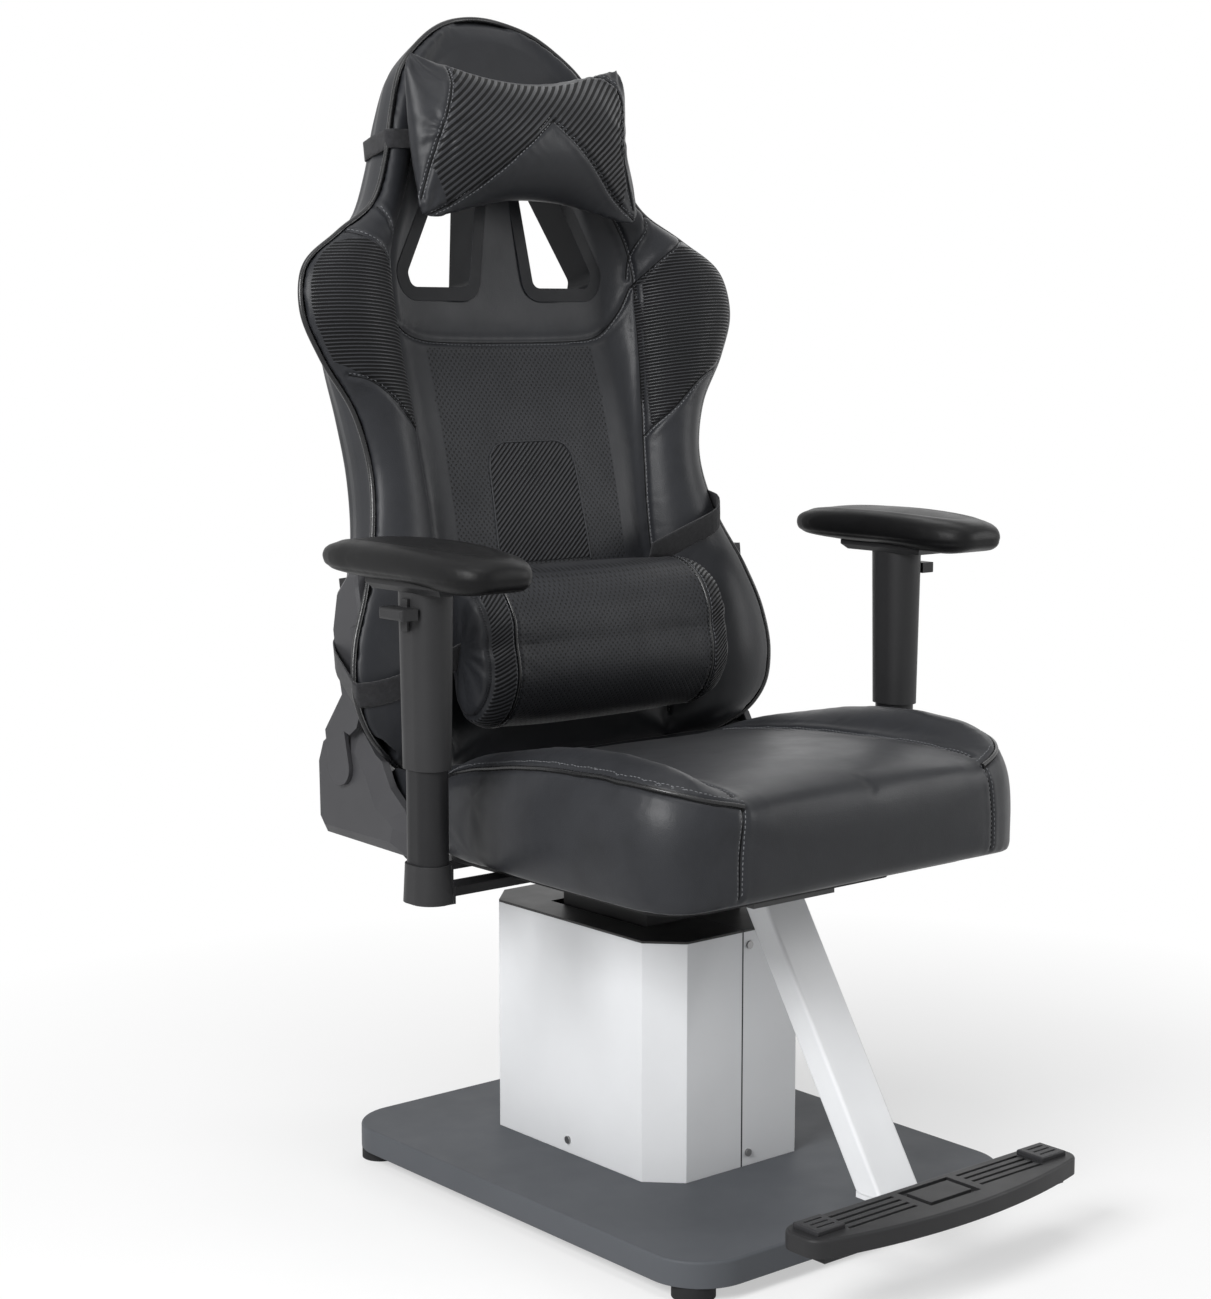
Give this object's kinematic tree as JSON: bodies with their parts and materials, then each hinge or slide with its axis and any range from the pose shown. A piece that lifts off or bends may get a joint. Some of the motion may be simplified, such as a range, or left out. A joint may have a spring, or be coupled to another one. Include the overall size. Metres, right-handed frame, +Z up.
{
  "type": "ophthalmic examination chair",
  "caption": "Examination chair on an electric lift column and flat base plate: reclining bucket backrest with pillows, height-adjustable armrests, slanted footrest strut with grooved bar.",
  "frame": {"origin": "on the floor under the middle of the chair's bounding box, at the rest pose", "axes": "+Z up, the person faces -Y, +X towards the person's left"},
  "size_m": [0.7686, 0.814, 1.2804],
  "materials": {
    "base_paint": "satin powder coat, slate blue-grey",
    "housing_paint": "fine satin powder coat, light silver",
    "dark_sheet": "satin powder coat, dark grey",
    "strut_paint": "satin powder coat, light silver",
    "black_steel": "semi-matt black",
    "zinc_steel": "zinc plated",
    "column_steel": "satin black",
    "nut_bronze": "machined",
    "slide_plastic": "plain",
    "black_plastic": "fine grain",
    "soft_black": "soft touch",
    "foot_rubber": "matt",
    "leather_black": "fine grain, softly glossy",
    "strap_fabric": "woven elastic",
    "black_paint": "satin black"
  },
  "bodies": {
    "base": {"base_plate": "base_paint", "leveling_feet": "foot_rubber", "housing_left": "housing_paint", "housing_right": "housing_paint", "top_cover_left": "dark_sheet", "top_cover_right": "dark_sheet", "housing_brackets": "zinc_steel", "housing_screws": "zinc_steel", "guide_mast": "column_steel", "base_bolts": "zinc_steel", "mast_guide_pads": "slide_plastic", "lift_gearbox": "black_paint", "lift_motor": "black_paint", "control_box": "black_plastic", "power_inlet": "black_plastic"},
    "power_switch": {"switch_rocker": "black_plastic"},
    "screw": {"lead_screw": "zinc_steel"},
    "carriage": {"lift_column": "column_steel", "column_guide_pads": "slide_plastic", "nut_tube": "zinc_steel", "lead_nut": "nut_bronze", "seat_mount_plate": "black_steel", "carriage_bolts": "zinc_steel", "seat_frame": "black_steel", "seat_cushion": "leather_black", "footrest_strut": "strut_paint", "footrest_bar": "black_plastic", "footrest_treads": "soft_black", "arm_brackets": "black_steel", "arm_socket_left": "black_plastic", "arm_socket_right": "black_plastic", "arm_post_left": "black_steel", "arm_post_right": "black_steel", "recliner_lower_left": "black_steel", "recliner_lower_right": "black_steel", "lower_cover_left": "black_plastic", "lower_cover_right": "black_plastic", "recliner_pins": "zinc_steel"},
    "release": {"release_rod": "black_steel", "recline_lever": "black_plastic"},
    "arm_left": {"arm_sleeve_left": "black_plastic", "arm_pad_plate_left": "black_plastic", "arm_pad_left": "soft_black"},
    "arm_right": {"arm_sleeve_right": "black_plastic", "arm_pad_plate_right": "black_plastic", "arm_pad_right": "soft_black"},
    "button_left": {"height_button_left": "black_plastic"},
    "button_right": {"height_button_right": "black_plastic"},
    "backrest": {"back_frame": "black_steel", "backrest_cushion": "leather_black", "back_shell": "leather_black", "harness_trims": "black_plastic", "recliner_upper_left": "black_steel", "recliner_upper_right": "black_steel", "upper_cover_left": "black_plastic", "upper_cover_right": "black_plastic", "head_pillow": "leather_black", "head_strap": "strap_fabric", "lumbar_pillow": "leather_black", "lumbar_strap": "strap_fabric"}
  },
  "joints": [
    {"name": "lift", "type": "slide", "parent": "base", "child": "carriage", "axis": [0, 0, 1], "range_m": [0, 0.2]},
    {"name": "screw_turn", "type": "hinge", "parent": "base", "child": "screw", "pos_m": [0, 0.064, 0.08], "axis": [0, 0, 1], "range_deg": [0, 6001]},
    {"name": "recline", "type": "hinge", "parent": "carriage", "child": "backrest", "pos_m": [0, 0.259, 0.462], "axis": [-1, 0, 0], "range_deg": [0, 65]},
    {"name": "release_lever", "type": "hinge", "parent": "carriage", "child": "release", "pos_m": [0.28, 0.215, 0.43], "axis": [-1, 0, 0], "range_deg": [0, 20], "stiffness_Nm_per_rad": 2, "springref_deg": -11.46},
    {"name": "arm_left_height", "type": "slide", "parent": "carriage", "child": "arm_left", "axis": [0, 0, 1], "range_m": [-0.08, 0]},
    {"name": "arm_right_height", "type": "slide", "parent": "carriage", "child": "arm_right", "axis": [0, 0, 1], "range_m": [-0.08, 0]},
    {"name": "button_left", "type": "slide", "parent": "arm_left", "child": "button_left", "axis": [0, 0, 1], "range_m": [0, 0.004], "stiffness_N_per_m": 500, "springref_m": -0.004},
    {"name": "button_right", "type": "slide", "parent": "arm_right", "child": "button_right", "axis": [0, 0, 1], "range_m": [0, 0.004], "stiffness_N_per_m": 500, "springref_m": -0.004},
    {"name": "power_switch", "type": "hinge", "parent": "base", "child": "power_switch", "pos_m": [0.06, 0.226, 0.117], "axis": [1, 0, 0], "range_deg": [-6, 6]}
  ],
  "couplings": [
    {"joint": "screw_turn", "follows": "lift", "rad_per_m": 523.6}
  ]
}
